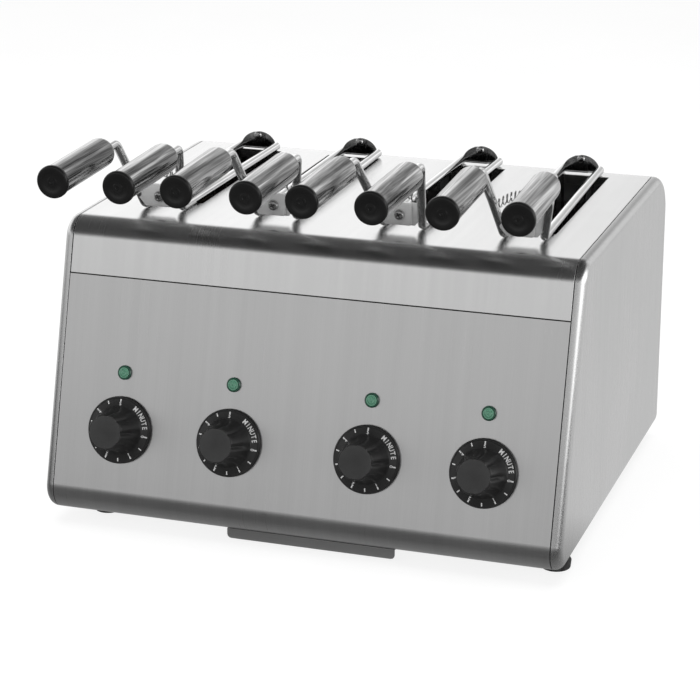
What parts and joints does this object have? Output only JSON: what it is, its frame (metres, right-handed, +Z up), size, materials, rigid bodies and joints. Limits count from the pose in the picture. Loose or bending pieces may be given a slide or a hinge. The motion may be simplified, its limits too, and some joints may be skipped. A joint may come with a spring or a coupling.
{
  "type": "slot toaster with sandwich tongs",
  "caption": "Counter-top slot toaster with lift-out sandwich tongs, timer knobs, pilot lamps and a crumb tray.",
  "frame": {"origin": "on the table, under the middle of the whole object, handles included", "axes": "+X to the right along the width seen from the front, +Y to the back, +Z up; the front faces -Y"},
  "size_m": [0.3904, 0.3768, 0.2877],
  "materials": {
    "brushed_steel": "brushed stainless steel sheet",
    "polished_steel": "polished stainless steel rod and tube",
    "black_plastic": "black satin plastic",
    "knob_plastic": "charcoal satin plastic with white dial marks",
    "black_rubber": "black rubber",
    "green_lens": "clear green moulded lens",
    "zinc_steel": "bare zinc-plated steel sheet",
    "heater_sheath": "dark oxidised steel sheath"
  },
  "bodies": {
    "housing": {"top_cover": "brushed_steel", "front_panel": "brushed_steel", "rear_panel": "brushed_steel", "side_cover_left": "brushed_steel", "side_cover_right": "brushed_steel", "chassis": "zinc_steel", "foot_front_left": "black_rubber", "foot_front_right": "black_rubber", "foot_rear_left": "black_rubber", "foot_rear_right": "black_rubber", "pilot_lamp_1": "green_lens", "pilot_lamp_2": "green_lens", "pilot_lamp_3": "green_lens", "pilot_lamp_4": "green_lens", "timer_1": "zinc_steel", "timer_2": "zinc_steel", "timer_3": "zinc_steel", "timer_4": "zinc_steel", "heating_element_1": "heater_sheath", "heating_element_2": "heater_sheath", "heating_element_3": "heater_sheath", "heating_element_4": "heater_sheath", "heating_element_5": "heater_sheath"},
    "crumb_tray": {"crumb_tray": "brushed_steel"},
    "timer_knob_1": {"timer_knob_1": "knob_plastic"},
    "timer_knob_2": {"timer_knob_2": "knob_plastic"},
    "timer_knob_3": {"timer_knob_3": "knob_plastic"},
    "timer_knob_4": {"timer_knob_4": "knob_plastic"},
    "tong_1_pivot": {"tong_1_pivot_screw": "polished_steel", "tong_1_spring": "polished_steel"},
    "tong_1_left": {"tong_1_left_frame": "polished_steel", "tong_1_left_handle": "polished_steel", "tong_1_left_cap": "black_plastic"},
    "tong_1_right": {"tong_1_right_frame": "polished_steel", "tong_1_right_handle": "polished_steel", "tong_1_right_cap": "black_plastic"},
    "tong_2_pivot": {"tong_2_pivot_screw": "polished_steel", "tong_2_spring": "polished_steel"},
    "tong_2_left": {"tong_2_left_frame": "polished_steel", "tong_2_left_handle": "polished_steel", "tong_2_left_cap": "black_plastic"},
    "tong_2_right": {"tong_2_right_frame": "polished_steel", "tong_2_right_handle": "polished_steel", "tong_2_right_cap": "black_plastic"},
    "tong_3_pivot": {"tong_3_pivot_screw": "polished_steel", "tong_3_spring": "polished_steel"},
    "tong_3_left": {"tong_3_left_frame": "polished_steel", "tong_3_left_handle": "polished_steel", "tong_3_left_cap": "black_plastic"},
    "tong_3_right": {"tong_3_right_frame": "polished_steel", "tong_3_right_handle": "polished_steel", "tong_3_right_cap": "black_plastic"},
    "tong_4_pivot": {"tong_4_pivot_screw": "polished_steel", "tong_4_spring": "polished_steel"},
    "tong_4_left": {"tong_4_left_frame": "polished_steel", "tong_4_left_handle": "polished_steel", "tong_4_left_cap": "black_plastic"},
    "tong_4_right": {"tong_4_right_frame": "polished_steel", "tong_4_right_handle": "polished_steel", "tong_4_right_cap": "black_plastic"}
  },
  "joints": [
    {"name": "crumb_tray_slide", "type": "slide", "parent": "housing", "child": "crumb_tray", "axis": [0, -1, 0], "range_m": [0, 0.2]},
    {"name": "timer_knob_1_turn", "type": "hinge", "parent": "housing", "child": "timer_knob_1", "pos_m": [-0.1378, -0.13295, 0.077], "axis": [0, 0.9622, -0.2723], "range_deg": [0, 300]},
    {"name": "timer_knob_2_turn", "type": "hinge", "parent": "housing", "child": "timer_knob_2", "pos_m": [-0.0531, -0.13295, 0.077], "axis": [0, 0.9622, -0.2723], "range_deg": [0, 300]},
    {"name": "timer_knob_3_turn", "type": "hinge", "parent": "housing", "child": "timer_knob_3", "pos_m": [0.0508, -0.13295, 0.077], "axis": [0, 0.9622, -0.2723], "range_deg": [0, 300]},
    {"name": "timer_knob_4_turn", "type": "hinge", "parent": "housing", "child": "timer_knob_4", "pos_m": [0.1359, -0.13295, 0.077], "axis": [0, 0.9622, -0.2723], "range_deg": [0, 300]},
    {"name": "tong_1_lift", "type": "slide", "parent": "housing", "child": "tong_1_pivot", "axis": [0, 0, 1], "range_m": [0, 0.15]},
    {"name": "tong_1_squeeze", "type": "hinge", "parent": "tong_1_pivot", "child": "tong_1_left", "pos_m": [-0.1337, -0.05413, 0.2342], "axis": [0.005, 1, 0], "range_deg": [0, 3.4], "deforming": ["tong_1_spring"]},
    {"name": "tong_1_squeeze_right", "type": "hinge", "parent": "tong_1_pivot", "child": "tong_1_right", "pos_m": [-0.1337, -0.05413, 0.2342], "axis": [-0.005, -1, 0], "range_deg": [0, 3.4]},
    {"name": "tong_2_lift", "type": "slide", "parent": "housing", "child": "tong_2_pivot", "axis": [0, 0, 1], "range_m": [0, 0.15]},
    {"name": "tong_2_squeeze", "type": "hinge", "parent": "tong_2_pivot", "child": "tong_2_left", "pos_m": [-0.04599, -0.05063, 0.2342], "axis": [-0.008, 1, 0], "range_deg": [0, 3.4], "deforming": ["tong_2_spring"]},
    {"name": "tong_2_squeeze_right", "type": "hinge", "parent": "tong_2_pivot", "child": "tong_2_right", "pos_m": [-0.04599, -0.05063, 0.2342], "axis": [0.008, -1, 0], "range_deg": [0, 3.4]},
    {"name": "tong_3_lift", "type": "slide", "parent": "housing", "child": "tong_3_pivot", "axis": [0, 0, 1], "range_m": [0, 0.15]},
    {"name": "tong_3_squeeze", "type": "hinge", "parent": "tong_3_pivot", "child": "tong_3_left", "pos_m": [0.04838, -0.04661, 0.2342], "axis": [0.016, 0.9999, 0], "range_deg": [0, 3.4], "deforming": ["tong_3_spring"]},
    {"name": "tong_3_squeeze_right", "type": "hinge", "parent": "tong_3_pivot", "child": "tong_3_right", "pos_m": [0.04838, -0.04661, 0.2342], "axis": [-0.016, -0.9999, 0], "range_deg": [0, 3.4]},
    {"name": "tong_4_lift", "type": "slide", "parent": "housing", "child": "tong_4_pivot", "axis": [0, 0, 1], "range_m": [0, 0.15]},
    {"name": "tong_4_squeeze", "type": "hinge", "parent": "tong_4_pivot", "child": "tong_4_left", "pos_m": [0.13893, -0.04959, 0.2342], "axis": [-0.027, 0.9996, 0], "range_deg": [0, 3.4], "deforming": ["tong_4_spring"]},
    {"name": "tong_4_squeeze_right", "type": "hinge", "parent": "tong_4_pivot", "child": "tong_4_right", "pos_m": [0.13893, -0.04959, 0.2342], "axis": [0.027, -0.9996, 0], "range_deg": [0, 3.4]}
  ],
  "couplings": [
    {"joint": "tong_1_squeeze_right", "follows": "tong_1_squeeze", "ratio": 1},
    {"joint": "tong_2_squeeze_right", "follows": "tong_2_squeeze", "ratio": 1},
    {"joint": "tong_3_squeeze_right", "follows": "tong_3_squeeze", "ratio": 1},
    {"joint": "tong_4_squeeze_right", "follows": "tong_4_squeeze", "ratio": 1}
  ]
}
